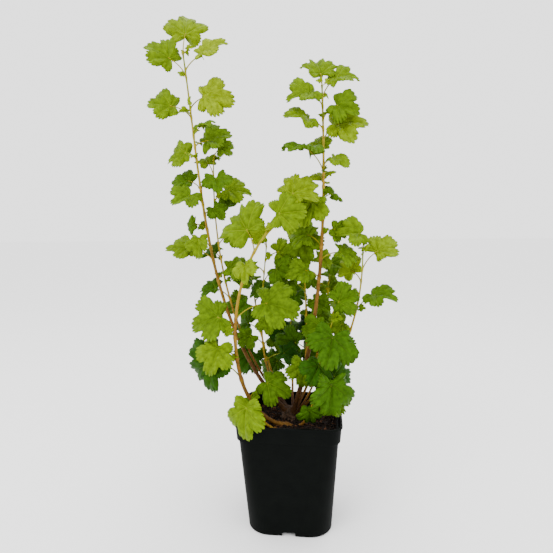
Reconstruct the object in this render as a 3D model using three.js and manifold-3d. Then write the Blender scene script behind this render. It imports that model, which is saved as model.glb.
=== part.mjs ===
// A potted jostaberry bush: a square plastic nursery pot filled with compost, a short woody crown,
// and the shoots that rise from it. Each shoot is a tapering limb that carries one mass of lobed
// leaves on long stalks. Millimetres, +Z up, with the front towards -Y. The origin is the middle
// of the pot's flat underside.

import * as THREE from 'three';
import Module from 'manifold-3d';

const wasm = await Module();
wasm.setup();

// Pot: half width, corner radius and height of each outer and inner step of its wall
const POT_HEIGHT = 163;
const LIP_HALF = 75;
const LIP_DEPTH = 3;
const COLLAR_DEPTH = 23;
const COLLAR_HALF = 72;
const COLLAR_STEP = 1.4;
const BODY_TOP_HALF = 69.5;
const BASE_HALF = 60.3;
const BASE_EDGE = 1.8;
const TOP_CORNER = 18;
const BASE_CORNER = 32;
const WALL = 1.6;
const FLOOR = 2.4;
const DRAIN_WIDTH = 19;
const DRAIN_HEIGHT = 6.5;
const DRAIN_LENGTH = 16;
const CORNER_FACETS = 3;
const CUT_MARGIN = 1;

// Compost: its level in the middle of the pot, and how far it has sunk along the wall
const SOIL_LEVEL = 145;
const SOIL_SINK = 4;
const SOIL_LUMP = 0.9;
const SOIL_RINGS = [0.93, 0.82];
const SOIL_FLAT = 0.69;

// Clearance between neighbouring solids
const GAP = 0.3;

// Crown: the short stump that the shoots fork from
const CROWN_CENTRE = [-3, 20];
const CROWN_RADIUS = 17;
const CROWN_HEIGHT = 13;
const CROWN_LOBES = 5;
const CROWN_LOBING = 0.12;
const CROWN_STRETCH = [0.9, 1.35];
const CROWN_SIDES = 20;
const CROWN_PROFILE = [[0, 1], [0.2, 0.84], [0.5, 0.7], [0.8, 0.5], [1, 0.2]];

// Limbs and stems: facets, and the flare at the foot of each shoot
const LIMB_SIDES = 6;
const LIMB_STEPS = 10;
const STUB_STEPS = 2;
const STEM_SIDES = 5;
const STEM_STEPS = 8;
const FLARE = 0.5;
const FLARE_SHARE = 0.05;

// Leaf: lobes as angle from the midrib, length share and half width in degrees
const LOBES = [[0, 1, 33], [55, 0.92, 33], [108, 0.58, 37]];
const LOBE_NOTCH = 0.44;
const LOBE_FLOOR = 0.14;
const LEAF_REACH = 0.78;
const LEAF_THICKNESS = 2.2;
const RIM_ANGLES = [14, 28, 55, 83, 108, 145];
const HUB_SHARE = 0.42;
const STALK_SHARE = 0.66;
const STALK_TIP_RISE = 24;
const STALK_RADIUS = [1.15, 0.5];
const STALK_SINK = 0.6;

// Leaf placing: first and last leaf as shares of the shoot, then the mean of each stalk and blade
// angle in degrees and how far a draw may swing it
const LEAF_START = 0.02;
const LEAF_END = 0.975;
const SPACING_SWING = 0.25;
const HOUR_SWING = 0.6;
const WIDTH_SWING = 0.06;
const STALK_SWING = 0.35;
const RISE = 44;
const RISE_SWING = 16;
const RISE_GAIN = 14;
const STALK_ARCH = 22;
const DROOP_SWING = 24;
const FRONT_DROOP = 36;
const ROLL_SWING = 26;
const FOLD = 10;
const FOLD_RANGE = 16;
const BEND = 0.18;
const BEND_SWING = 0.14;
const UPWARD_PULL = 0.3;
const OUTWARD_PULL = 0.35;
const LEAST_PULL = 0.2;
const LEAF_SEED_STEP = 0.37;
const TRY_SEED_STEP = 0.113;

// Leaf clearance: tries per leaf, least height, and the extra size of the body tested for clashes
const LEAF_TRIES = 14;
const BENCH_CLEARANCE = 6;
const GUARD_WIDTH = 1.5;
const GUARD_GIRTH = 1.6;
const GUARD_START = 0.3;

// Light from the front and above, which the blades turn to face
const LIGHT = new THREE.Vector3(-0.12, -0.95, 0.30);
const UP = new THREE.Vector3(0, 0, 1);

// Shoots: where each starts and ends, its lean and heading as it leaves the crown and as it
// arrives at its tip, its radius at both ends, and the shares of its length where the crown's
// stub ends and where its foliage starts. Headings are clock hours: 12 points to the back, 3 to
// the right and 6 to the front. Each leaf has the hour it grows towards and its width, from the
// lowest leaf up, and the droop runs from the lowest leaf to the highest.
const SHOOTS = {
  left_tall: {
    foot: [-8, 15, 152], tip: [-159, 20, 692], leave: [50, 9.6], arrive: [8, 7.6],
    radius: [3.2, 1.1], stub: 0.07, bare: 0.4, crowd: 0.86, droop: [22, -22], seed: 453,
    hours: [3, 9, 7, 10, 3, 6.5, 9, 2, 9, 2, 4.5, 9, 3, 8.5, 9, 3, 12],
    widths: [42, 54, 38, 30, 32, 46, 42, 34, 46, 50, 32, 46, 52, 28, 54, 50, 58],
  },
  left_second: {
    foot: [-6, 24, 152], tip: [-122, 45, 540], leave: [47, 9.5], arrive: [2.5, 3.4],
    radius: [2.2, 0.9], stub: 0.09, bare: 0.46, crowd: 0.85, droop: [20, -5], seed: 32,
    hours: [9, 3, 11, 3, 9, 1, 3, 5, 10, 3],
    widths: [42, 44, 36, 36, 32, 32, 48, 42, 34, 34],
  },
  front_left: {
    foot: [-6, -18, 144], tip: [-10, -45, 440], leave: [81, 8.8], arrive: [57, 2.5],
    radius: [3.2, 1.4], stub: 0, bare: 0.22, crowd: 0.95, droop: [28, -5], seed: 553,
    hours: [3, 9, 8, 9.5, 3, 3, 5, 10.5, 4, 2],
    widths: [46, 68, 48, 54, 66, 36, 30, 66, 46, 54],
  },
  centre: {
    foot: [-3, 30, 150], tip: [-40, 40, 405], leave: [48, 9.3], arrive: [5, 2.7],
    radius: [1.8, 0.8], stub: 0.11, bare: 0.32, crowd: 0.9, droop: [20, 0], seed: 319,
    hours: [3, 9, 5, 8, 11, 3, 9, 2, 10],
    widths: [40, 32, 30, 34, 28, 40, 26, 36, 32],
  },
  centre_right: {
    foot: [4, 24, 150], tip: [16, 60, 411], leave: [24, 2], arrive: [1, 11.6],
    radius: [2.0, 0.8], stub: 0.1, bare: 0.34, crowd: 0.9, droop: [22, 0], seed: 618,
    hours: [9, 2, 10, 4, 8, 11, 3, 6.5, 10],
    widths: [44, 38, 44, 34, 40, 36, 34, 52, 36],
  },
  right_tall: {
    foot: [1, 12, 150], tip: [46, 0, 632], leave: [18, 2.9], arrive: [2, 9.2],
    radius: [3.6, 1.1], stub: 0.06, bare: 0.42, crowd: 0.86, droop: [25, -20], seed: 215,
    hours: [9, 3, 10, 2, 9, 7.5, 1, 12, 8.5, 4, 11, 3, 9, 3, 9, 2.5, 12],
    widths: [40, 36, 44, 30, 42, 52, 28, 36, 54, 32, 30, 54, 48, 42, 46, 44, 50],
  },
  right_outer: {
    foot: [5, 18, 150], tip: [105, 10, 395], leave: [51, 3.5], arrive: [1, 8],
    radius: [2.2, 1.0], stub: 0.11, bare: 0.56, crowd: 0.9, droop: [22, 0], seed: 183,
    hours: [9, 3.2, 9, 11, 2, 9],
    widths: [34, 44, 36, 36, 48, 46],
  },
  right_mid: {
    foot: [4, 10, 150], tip: [62, -10, 300], leave: [42, 3.4], arrive: [20, 4],
    radius: [1.8, 0.9], stub: 0.16, bare: 0.45, crowd: 0.9, droop: [35, 5], seed: 526,
    hours: [8, 3, 5, 10, 2],
    widths: [44, 40, 66, 38, 46],
  },
  left_low: {
    foot: [-22, -30, 143], tip: [-56, -50, 172], leave: [62, 8], arrive: [75, 8],
    radius: [2.2, 1.2], stub: 0, bare: 0.5, crowd: 0.9, droop: [35, 35], seed: 411,
    hours: [4.5, 7, 9],
    widths: [46, 54, 24],
  },
  right_low: {
    foot: [14, -16, 143], tip: [46, -38, 212], leave: [50, 4], arrive: [35, 4],
    radius: [2.2, 1.2], stub: 0, bare: 0.42, crowd: 0.9, droop: [50, 15], seed: 68,
    hours: [6, 3.5, 5, 3, 7],
    widths: [34, 40, 60, 46, 38],
  },
  back_left: {
    foot: [-8, 32, 150], tip: [-72, 92, 345], leave: [48, 10.5], arrive: [14, 10.5],
    radius: [2.2, 0.9], stub: 0.13, bare: 0.38, crowd: 0.9, droop: [30, 0], seed: 271,
    hours: [9, 1, 10, 12, 8, 2, 11, 9],
    widths: [44, 46, 48, 44, 42, 40, 42, 36],
  },
  back_right: {
    foot: [4, 30, 150], tip: [58, 98, 360], leave: [45, 1.5], arrive: [12, 1],
    radius: [2.2, 0.9], stub: 0.12, bare: 0.36, crowd: 0.9, droop: [30, 0], seed: 391,
    hours: [3, 12, 10, 2, 4, 12, 9, 1, 3],
    widths: [46, 48, 42, 46, 44, 42, 38, 40, 36],
  },
  back_centre: {
    foot: [-1, 34, 150], tip: [-8, 112, 300], leave: [52, 12], arrive: [18, 12],
    radius: [2.0, 0.9], stub: 0.16, bare: 0.38, crowd: 0.9, droop: [32, 0], seed: 457,
    hours: [10, 2, 12, 9, 3, 11, 1],
    widths: [46, 46, 50, 42, 42, 40, 38],
  },
};

// Hash draws, so that a shoot's leaves are the same in every run
const DRAW = {
  share: 0, hour: 1, width: 2, stalk: 3, rise: 4, droop: 5, turn: 6, roll: 7, fold: 8, bend: 9,
};
const SEED_WAVE = 12.9898;
const DRAW_WAVE = 78.233;
const WAVE_HEIGHT = 43758.5453;

function chance(seed, draw) {
  const wave = Math.sin(seed * SEED_WAVE + draw * DRAW_WAVE) * WAVE_HEIGHT;
  return wave - Math.floor(wave);
}

function swing(seed, draw) {
  return 2 * chance(seed, draw) - 1;
}

// Directions
const radians = THREE.MathUtils.degToRad;
const lerp = THREE.MathUtils.lerp;
const hourAngle = (hour) => 2 * Math.PI * hour / 12;

function leaning(degrees, hour) {
  const lean = radians(degrees);
  const heading = hourAngle(hour);
  const level = Math.sin(lean);
  return new THREE.Vector3(level * Math.sin(heading), level * Math.cos(heading), Math.cos(lean));
}

function climbing(degrees, hour) {
  return leaning(90 - degrees, hour);
}

// Solids: closed meshes of shared vertices, joined and cut by manifold-3d
function solid(points, triangles) {
  const vertProperties = new Float32Array(points.flatMap((point) => [point.x, point.y, point.z]));
  const triVerts = new Uint32Array(triangles.flat());
  return new wasm.Manifold(new wasm.Mesh({ numProp: 3, vertProperties, triVerts }));
}

function overlaps(first, second) {
  return first.intersect(second).getMesh().triVerts.length > 0;
}

function boxOf(body) {
  const { vertProperties, numProp } = body.getMesh();
  const box = new THREE.Box3();
  for (let i = 0; i < vertProperties.length; i += numProp) {
    box.expandByPoint(new THREE.Vector3(...vertProperties.subarray(i, i + 3)));
  }
  return box;
}

// A skin over rings of equally many points, each ring closed by a cap at the two ends
function loft(rings) {
  const count = rings[0].length;
  const triangles = [];
  for (let ring = 0; ring + 1 < rings.length; ring += 1) {
    for (let i = 0; i < count; i += 1) {
      const here = ring * count + i;
      const next = ring * count + (i + 1) % count;
      triangles.push([here, next, next + count], [here, next + count, here + count]);
    }
  }
  const points = rings.flat();
  for (const [ring, flip] of [[0, true], [rings.length - 1, false]]) {
    const middle = new THREE.Vector3();
    rings[ring].forEach((point) => middle.addScaledVector(point, 1 / count));
    const hub = points.push(middle) - 1;
    for (let i = 0; i < count; i += 1) {
      const here = ring * count + i;
      const next = ring * count + (i + 1) % count;
      triangles.push(flip ? [hub, next, here] : [hub, here, next]);
    }
  }
  return solid(points, triangles);
}

// A level square ring with rounded corners
function squareRing(half, corner, height) {
  const flat = half - corner;
  const shape = new THREE.Shape();
  [[1, -1, -90], [1, 1, 0], [-1, 1, 90], [-1, -1, 180]].forEach(([x, y, start]) => {
    shape.absarc(x * flat, y * flat, corner, radians(start), radians(start + 90), false);
  });
  const outline = shape.getPoints(CORNER_FACETS).slice(0, -1);
  return outline.map((point) => new THREE.Vector3(point.x, point.y, height));
}

// A tapering round limb along a curve from one share of its length to another
function limb(curve, from, to, radiusAt, sides, steps) {
  const [start] = curve.computeFrenetFrames(steps, false).normals;
  const rings = [];
  for (let step = 0; step <= steps; step += 1) {
    const share = lerp(from, to, step / steps);
    const centre = curve.getPoint(share);
    const along = curve.getTangent(share);
    const side = start.clone().addScaledVector(along, -along.dot(start)).normalize();
    const other = new THREE.Vector3().crossVectors(along, side);
    const ring = [];
    for (let i = 0; i < sides; i += 1) {
      const turn = 2 * Math.PI * i / sides;
      const radius = radiusAt(share);
      ring.push(centre.clone()
        .addScaledVector(side, radius * Math.cos(turn))
        .addScaledVector(other, radius * Math.sin(turn)));
    }
    rings.push(ring);
  }
  return loft(rings);
}

// The route of a shoot: a cubic curve with its given lean at both ends
function shootCurve(shoot) {
  const foot = new THREE.Vector3(...shoot.foot);
  const tip = new THREE.Vector3(...shoot.tip);
  const handle = foot.distanceTo(tip) / 3;
  const first = foot.clone().addScaledVector(leaning(...shoot.leave), handle);
  const second = tip.clone().addScaledVector(leaning(...shoot.arrive), -handle);
  return new THREE.CubicBezierCurve3(foot, first, second, tip);
}

function shootRadius(shoot) {
  return (share) => {
    const flare = Math.max(0, 1 - share / FLARE_SHARE);
    return lerp(...shoot.radius, share) * (1 + FLARE * flare * flare);
  };
}

// Where a leaf grows and how it is turned. A later try gives the same leaf other draws.
function leafPlace(shoot, curve, index, attempt) {
  const last = shoot.hours.length - 1;
  const height = index / last;
  const seed = shoot.seed + LEAF_SEED_STEP * index + TRY_SEED_STEP * attempt;
  const step = (1 - shoot.bare) / (last + 1);
  const between = index > 0 && index < last ? SPACING_SWING * step * swing(seed, DRAW.share) : 0;
  const share = shoot.bare + LEAF_START + (LEAF_END - shoot.bare) * height ** shoot.crowd + between;
  const root = curve.getPoint(share);
  const hour = shoot.hours[index] + HOUR_SWING * swing(seed, DRAW.hour);
  const width = shoot.widths[index] * (1 + WIDTH_SWING * swing(seed, DRAW.width));

  const length = width * STALK_SHARE * (1 + STALK_SWING * swing(seed, DRAW.stalk));
  const tipRise = index === last ? STALK_TIP_RISE : 0;
  const rise = RISE + RISE_SWING * swing(seed, DRAW.rise) + RISE_GAIN * height + tipRise;
  const knee = root.clone().addScaledVector(climbing(rise, hour), length / 2);
  const base = knee.clone().addScaledVector(climbing(rise - STALK_ARCH, hour), length / 2);

  const turned = hour + swing(seed, DRAW.turn);
  const facing = FRONT_DROOP * Math.cos(hourAngle(hour));
  const droop = lerp(...shoot.droop, height) + DROOP_SWING * swing(seed, DRAW.droop) - facing;
  const midrib = climbing(-droop, turned);
  const wanted = LIGHT.clone()
    .addScaledVector(UP, UPWARD_PULL)
    .addScaledVector(climbing(0, hour), OUTWARD_PULL)
    .normalize();
  const up = wanted.addScaledVector(midrib, -wanted.dot(midrib));
  if (up.length() < LEAST_PULL) up.copy(UP).addScaledVector(midrib, -UP.dot(midrib));
  up.normalize();
  up.applyAxisAngle(midrib, radians(ROLL_SWING * swing(seed, DRAW.roll)));
  const side = new THREE.Vector3().crossVectors(midrib, up);

  const fold = radians(FOLD + FOLD_RANGE * chance(seed, DRAW.fold));
  const bend = BEND + BEND_SWING * swing(seed, DRAW.bend);
  return { root, knee, base, midrib, side, up, width, fold, bend };
}

// The lobed outline: its reach at an angle from the midrib, as a share of the middle lobe's
function lobeReach(degrees) {
  const lobes = LOBES.map(([angle, length, width]) => (
    length * (1 - LOBE_NOTCH * ((Math.abs(degrees) - angle) / width) ** 2)
  ));
  return Math.max(LOBE_FLOOR, ...lobes);
}

function bladePoint(place, degrees, share = 1) {
  const reach = share * LEAF_REACH * place.width * lobeReach(degrees);
  const along = reach * Math.cos(radians(degrees));
  const across = reach * Math.sin(radians(degrees));
  const lift = Math.abs(across) * Math.sin(place.fold) - place.bend * reach * reach / place.width;
  return place.base.clone()
    .addScaledVector(place.midrib, along)
    .addScaledVector(place.side, across * Math.cos(place.fold))
    .addScaledVector(place.up, lift);
}

// A blade is a lens: an upper and a lower fan that meet at the lobed rim. Their hubs lie part of
// the way up the midrib, and the stalk is sunk between them.
function blade(place, thickness) {
  const angles = [180, ...RIM_ANGLES.map((angle) => -angle).reverse(), ...RIM_ANGLES];
  const count = angles.length;
  const points = angles.map((angle) => bladePoint(place, angle));
  const hub = bladePoint(place, 0, HUB_SHARE);
  const top = points.push(hub.clone().addScaledVector(place.up, thickness / 2)) - 1;
  const bottom = points.push(hub.clone().addScaledVector(place.up, -thickness / 2)) - 1;
  const triangles = [];
  for (let i = 0; i < count; i += 1) {
    const next = (i + 1) % count;
    triangles.push([top, next, i], [bottom, i, next]);
  }
  return solid(points, triangles);
}

function stalk(place, start, girth) {
  const root = place.root.clone().lerp(place.knee, start);
  const end = place.base.clone().lerp(bladePoint(place, 0, HUB_SHARE), STALK_SINK);
  const heading = place.base.clone().sub(place.root).normalize();
  const side = new THREE.Vector3().crossVectors(heading, place.side).normalize();
  const other = new THREE.Vector3().crossVectors(heading, side);
  const rings = [root, place.knee, end].map((centre, station) => {
    const radius = girth * lerp(...STALK_RADIUS, station / 2);
    return [0, 1, 2].map((corner) => centre.clone()
      .addScaledVector(side, radius * Math.cos(2 * Math.PI * corner / 3))
      .addScaledVector(other, radius * Math.sin(2 * Math.PI * corner / 3)));
  });
  return loft(rings);
}

// Pot: one skin up the outside, over the lip and down the inside, closed by the floor
const shareUp = (height) => height / (POT_HEIGHT - COLLAR_DEPTH);
const bodyHalf = (height) => lerp(BASE_HALF, BODY_TOP_HALF, shareUp(height));
const bodyCorner = (height) => lerp(BASE_CORNER, TOP_CORNER, shareUp(height));

function brick(low, high) {
  const ring = (height) => [[0, 0], [1, 0], [1, 1], [0, 1]].map(([x, y]) => (
    new THREE.Vector3(lerp(low[0], high[0], x), lerp(low[1], high[1], y), height)
  ));
  return loft([ring(low[2]), ring(high[2])]);
}

function pot() {
  const collarFoot = POT_HEIGHT - COLLAR_DEPTH;
  const lipFoot = POT_HEIGHT - LIP_DEPTH;
  const lipInner = LIP_HALF - COLLAR_STEP - WALL;
  const innerCorner = TOP_CORNER - WALL;
  const shell = loft([
    squareRing(BASE_HALF - BASE_EDGE, BASE_CORNER - BASE_EDGE, 0),
    squareRing(bodyHalf(BASE_EDGE), bodyCorner(BASE_EDGE), BASE_EDGE),
    squareRing(BODY_TOP_HALF, TOP_CORNER, collarFoot),
    squareRing(COLLAR_HALF, TOP_CORNER, collarFoot),
    squareRing(LIP_HALF - COLLAR_STEP, TOP_CORNER, lipFoot),
    squareRing(LIP_HALF, TOP_CORNER + COLLAR_STEP, lipFoot),
    squareRing(LIP_HALF, TOP_CORNER + COLLAR_STEP, POT_HEIGHT),
    squareRing(lipInner, innerCorner, POT_HEIGHT),
    squareRing(COLLAR_HALF - WALL, innerCorner, collarFoot + WALL),
    squareRing(BODY_TOP_HALF - WALL, innerCorner, collarFoot + WALL),
    squareRing(bodyHalf(FLOOR) - WALL, bodyCorner(FLOOR) - WALL, FLOOR),
  ]);
  const far = BASE_HALF + BASE_EDGE;
  const near = BASE_HALF - DRAIN_LENGTH;
  const half = DRAIN_WIDTH / 2;
  return shell
    .subtract(brick([near, -half, -CUT_MARGIN], [far, half, DRAIN_HEIGHT]))
    .subtract(brick([-far, -half, -CUT_MARGIN], [-near, half, DRAIN_HEIGHT]))
    .subtract(brick([-half, near, -CUT_MARGIN], [half, far, DRAIN_HEIGHT]))
    .subtract(brick([-half, -far, -CUT_MARGIN], [half, -near, DRAIN_HEIGHT]));
}

// Compost: fills the pot clear of its wall, flat round the crown and lumpy towards the edge
function compost() {
  const inset = WALL + GAP;
  const edge = SOIL_LEVEL - SOIL_SINK;
  const foot = DRAIN_HEIGHT + GAP;
  const edgeHalf = BODY_TOP_HALF - inset;
  const lumpy = SOIL_RINGS.map((share, ring) => {
    const level = lerp(edge, SOIL_LEVEL, (ring + 1) / (SOIL_RINGS.length + 1));
    return squareRing(edgeHalf * share, TOP_CORNER * share, level)
      .map((point, i) => point.setZ(level + SOIL_LUMP * swing(i, ring)));
  });
  return loft([
    squareRing(bodyHalf(foot) - inset, bodyCorner(foot) - inset, foot),
    squareRing(edgeHalf, TOP_CORNER - inset, edge),
    ...lumpy,
    squareRing(edgeHalf * SOIL_FLAT, TOP_CORNER * SOIL_FLAT, SOIL_LEVEL),
  ]);
}

// Crown: a flared stump, flat where it meets the compost, with the stub of each shoot it carries
function stump() {
  const rings = CROWN_PROFILE.map(([height, girth]) => {
    const ring = [];
    for (let i = 0; i < CROWN_SIDES; i += 1) {
      const turn = 2 * Math.PI * i / CROWN_SIDES;
      const lobe = 1 + CROWN_LOBING * (1 - height) * Math.cos(CROWN_LOBES * turn);
      const radius = CROWN_RADIUS * girth * lobe;
      ring.push(new THREE.Vector3(
        CROWN_CENTRE[0] + radius * CROWN_STRETCH[0] * Math.cos(turn),
        CROWN_CENTRE[1] + radius * CROWN_STRETCH[1] * Math.sin(turn),
        SOIL_LEVEL + GAP + CROWN_HEIGHT * height,
      ));
    }
    return ring;
  });
  return loft(rings);
}

// The share of a curve that a short length takes up at one place along it
const PROBE = 1e-3;

function shareOf(curve, share, length) {
  return length * PROBE / curve.getPoint(share).distanceTo(curve.getPoint(share + PROBE));
}

const plants = Object.entries(SHOOTS).map(([name, shoot]) => {
  const curve = shootCurve(shoot);
  return { name, shoot, curve, radiusAt: shootRadius(shoot) };
});

let crown = stump();
for (const { shoot, curve, radiusAt } of plants) {
  if (shoot.stub > 0) crown = crown.add(limb(curve, 0, shoot.stub, radiusAt, LIMB_SIDES, STUB_STEPS));
}

const cutLevel = SOIL_LEVEL + GAP;
const aboveSoil = brick([-LIP_HALF, -LIP_HALF, cutLevel], [LIP_HALF, LIP_HALF, 2 * POT_HEIGHT]);
for (const plant of plants) {
  const { shoot, curve, radiusAt } = plant;
  const start = shoot.stub > 0 ? shoot.stub + shareOf(curve, shoot.stub, GAP) : 0;
  plant.limb = limb(curve, start, shoot.bare, radiusAt, LIMB_SIDES, LIMB_STEPS);
  if (shoot.stub === 0) plant.limb = plant.limb.intersect(aboveSoil);
  const enter = shoot.bare + shareOf(curve, shoot.bare, GAP);
  plant.stem = limb(curve, enter, 1, radiusAt, STEM_SIDES, STEM_STEPS);
  plant.leaves = [];
}

// Leaves: each takes the first of its tries that is clear of every solid placed before it
const kept = (body) => ({ body, box: boxOf(body) });
const clear = (guard, solids) => {
  const box = boxOf(guard);
  return solids.every((other) => !box.intersectsBox(other.box) || !overlaps(guard, other.body));
};

function leafSolids(plant, index, solids) {
  for (let attempt = 0; attempt < LEAF_TRIES; attempt += 1) {
    const place = leafPlace(plant.shoot, plant.curve, index, attempt);
    const wide = { ...place, width: place.width + GUARD_WIDTH };
    const guardBlade = blade(wide, LEAF_THICKNESS + GUARD_WIDTH);
    const guardStalk = stalk(place, GUARD_START, GUARD_GIRTH);
    const low = boxOf(guardBlade).min.z;
    if (low > BENCH_CLEARANCE && clear(guardBlade, solids) && clear(guardStalk, solids)) {
      return [stalk(place, 0, 1), blade(place, LEAF_THICKNESS)];
    }
  }
  return [];
}

const potBody = pot();
const soilBody = compost();
const wood = plants.flatMap((plant) => [plant.limb, plant.stem]);
const solids = [potBody, soilBody, crown, ...wood].map(kept);
for (const plant of plants) {
  plant.shoot.hours.forEach((hour, index) => {
    const grown = leafSolids(plant, index, solids);
    plant.leaves.push(...grown);
    solids.push(...grown.map(kept));
  });
}

// Materials and the finished group
function finish(color, roughness) {
  return new THREE.MeshStandardMaterial({ color, roughness, metalness: 0 });
}

const plastic = finish(0x14181a, 0.45);
const earth = finish(0x2b2019, 0.95);
const bark = finish(0x8a5a3c, 0.75);
const foliage = finish(0x7da41f, 0.6);

function mesh(name, body, material) {
  const { vertProperties, numProp, triVerts } = body.getMesh();
  const position = new Float32Array(vertProperties.length / numProp * 3);
  for (let i = 0; i < position.length; i += 1) {
    position[i] = vertProperties[Math.floor(i / 3) * numProp + i % 3];
  }
  const geometry = new THREE.BufferGeometry();
  geometry.setAttribute('position', new THREE.BufferAttribute(position, 3));
  geometry.setIndex([...triVerts]);
  const piece = new THREE.Mesh(geometry, material);
  piece.name = name;
  return piece;
}

const bush = new THREE.Group();
bush.add(mesh('pot', potBody, plastic));
bush.add(mesh('compost', soilBody, earth));
bush.add(mesh('crown', crown, bark));
for (const plant of plants) {
  const mass = plant.leaves.reduce((whole, leaf) => whole.add(leaf), plant.stem);
  bush.add(mesh(`limb_${plant.name}`, plant.limb, bark));
  bush.add(mesh(`foliage_${plant.name}`, mass, foliage));
}

export default bush;
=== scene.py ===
"""A potted jostaberry bush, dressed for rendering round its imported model.

Lengths are written in millimetres, as in the part's source, and become metres as each mesh is made.
The shoots, their leaves and the tries that each leaf makes follow the source's rule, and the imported
solids tell which try was kept. The front faces -Y, and clock hours give headings: 12 is the back,
3 the right, 6 the front and 9 the left.
"""

import itertools
import math

import bpy
import numpy as np
from mathutils import Matrix, Vector
from mathutils.kdtree import KDTree


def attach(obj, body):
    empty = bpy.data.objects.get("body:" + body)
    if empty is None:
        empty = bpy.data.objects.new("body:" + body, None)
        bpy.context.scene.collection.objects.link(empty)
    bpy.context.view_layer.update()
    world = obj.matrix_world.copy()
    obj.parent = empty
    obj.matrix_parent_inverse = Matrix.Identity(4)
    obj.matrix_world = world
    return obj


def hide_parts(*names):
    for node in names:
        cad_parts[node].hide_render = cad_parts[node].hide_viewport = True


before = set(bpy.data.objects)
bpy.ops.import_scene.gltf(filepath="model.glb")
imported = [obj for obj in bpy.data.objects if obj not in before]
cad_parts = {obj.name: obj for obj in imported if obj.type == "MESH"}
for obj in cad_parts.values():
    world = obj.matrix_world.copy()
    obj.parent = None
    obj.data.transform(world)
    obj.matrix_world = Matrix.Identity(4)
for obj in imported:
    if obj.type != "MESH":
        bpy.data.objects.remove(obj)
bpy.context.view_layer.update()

MM = 0.001

# Pot
POT_HEIGHT = 163
LIP_HALF = 75
LIP_DEPTH = 3
COLLAR_DEPTH = 23
COLLAR_HALF = 72
COLLAR_STEP = 1.4
BODY_TOP_HALF = 69.5
BASE_HALF = 60.3
BASE_EDGE = 1.8
TOP_CORNER = 18
BASE_CORNER = 32
WALL = 1.6
FLOOR = 2.4
DRAIN_WIDTH = 19
DRAIN_HEIGHT = 6.5
DRAIN_LENGTH = 16
CUT_MARGIN = 1
COLLAR_FOOT = POT_HEIGHT - COLLAR_DEPTH
LIP_FOOT = POT_HEIGHT - LIP_DEPTH

# Compost
SOIL_LEVEL = 145
SOIL_SINK = 4
GAP = 0.3

# Crown
CROWN_CENTRE = (-3, 20)
CROWN_RADIUS = 17
CROWN_HEIGHT = 13
CROWN_LOBES = 5
CROWN_LOBING = 0.12
CROWN_STRETCH = (0.9, 1.35)
CROWN_PROFILE = ((0, 1), (0.2, 0.84), (0.5, 0.7), (0.8, 0.5), (1, 0.2))

# Leaf outline, as in the source: angle, length share and half width in degrees of each lobe
LOBES = ((0, 1, 33), (55, 0.92, 33), (108, 0.58, 37))
LOBE_NOTCH = 0.44
LOBE_POWER = 2
LOBE_FLOOR = 0.14
LEAF_REACH = 0.78
RIM_ANGLES = (14, 28, 55, 83, 108, 145)
RIM_MATCH = 0.05

# Leaf placing, as in the source
STALK_SHARE = 0.66
STALK_TIP_RISE = 24
LEAF_START = 0.02
LEAF_END = 0.975
SPACING_SWING = 0.25
HOUR_SWING = 0.6
WIDTH_SWING = 0.06
STALK_SWING = 0.35
RISE = 44
RISE_SWING = 16
RISE_GAIN = 14
STALK_ARCH = 22
DROOP_SWING = 24
FRONT_DROOP = 36
ROLL_SWING = 26
FOLD = 10
FOLD_RANGE = 16
BEND = 0.18
BEND_SWING = 0.14
UPWARD_PULL = 0.3
OUTWARD_PULL = 0.35
LEAST_PULL = 0.2
LEAF_SEED_STEP = 0.37
TRY_SEED_STEP = 0.113
LEAF_TRIES = 14
FLARE = 0.5
FLARE_SHARE = 0.05
NEAR_SHARE = 0.001
LIGHT = np.array((-0.12, -0.95, 0.30))
UP = np.array((0.0, 0.0, 1.0))

# Shoots, as in the source

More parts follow.
